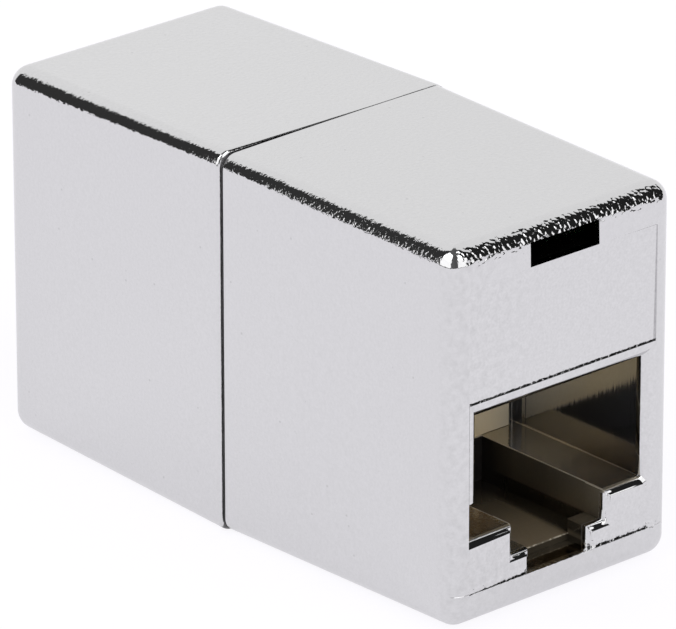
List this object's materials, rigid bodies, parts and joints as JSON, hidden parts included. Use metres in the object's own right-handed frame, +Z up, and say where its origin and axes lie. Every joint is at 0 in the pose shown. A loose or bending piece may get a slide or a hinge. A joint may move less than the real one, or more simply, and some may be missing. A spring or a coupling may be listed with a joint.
{
  "type": "ethernet inline coupler",
  "caption": "Box-shaped inline coupler in two metallised halves, with a modular network socket in each end, sprung contacts and an inner circuit board.",
  "frame": {"origin": "centre of the underside at the seam between the two halves", "axes": "+Z up, Y along the coupler from the near socket at -Y to the far socket at +Y, X across it"},
  "size_m": [0.0164, 0.0368, 0.0223],
  "materials": {
    "plated_shell": "bright metallised plastic with a fine orange-peel texture",
    "plated_jack": "bright metallised plastic, smooth inside the socket",
    "carrier_plastic": "natural cream insulator plastic",
    "board": "green glass-fibre circuit board",
    "contact_gold": "gold-plated spring wire"
  },
  "bodies": {
    "root": {"near_shell": "plated_shell", "far_shell": "plated_shell", "near_jack_housing": "plated_jack", "far_jack_housing": "plated_jack", "near_contact_carrier": "carrier_plastic", "far_contact_carrier": "carrier_plastic", "circuit_board": "board", "near_contact_1": "contact_gold", "near_contact_2": "contact_gold", "near_contact_3": "contact_gold", "near_contact_4": "contact_gold", "near_contact_5": "contact_gold", "near_contact_6": "contact_gold", "near_contact_7": "contact_gold", "near_contact_8": "contact_gold", "far_contact_1": "contact_gold", "far_contact_2": "contact_gold", "far_contact_3": "contact_gold", "far_contact_4": "contact_gold", "far_contact_5": "contact_gold", "far_contact_6": "contact_gold", "far_contact_7": "contact_gold", "far_contact_8": "contact_gold"}
  },
  "joints": []
}
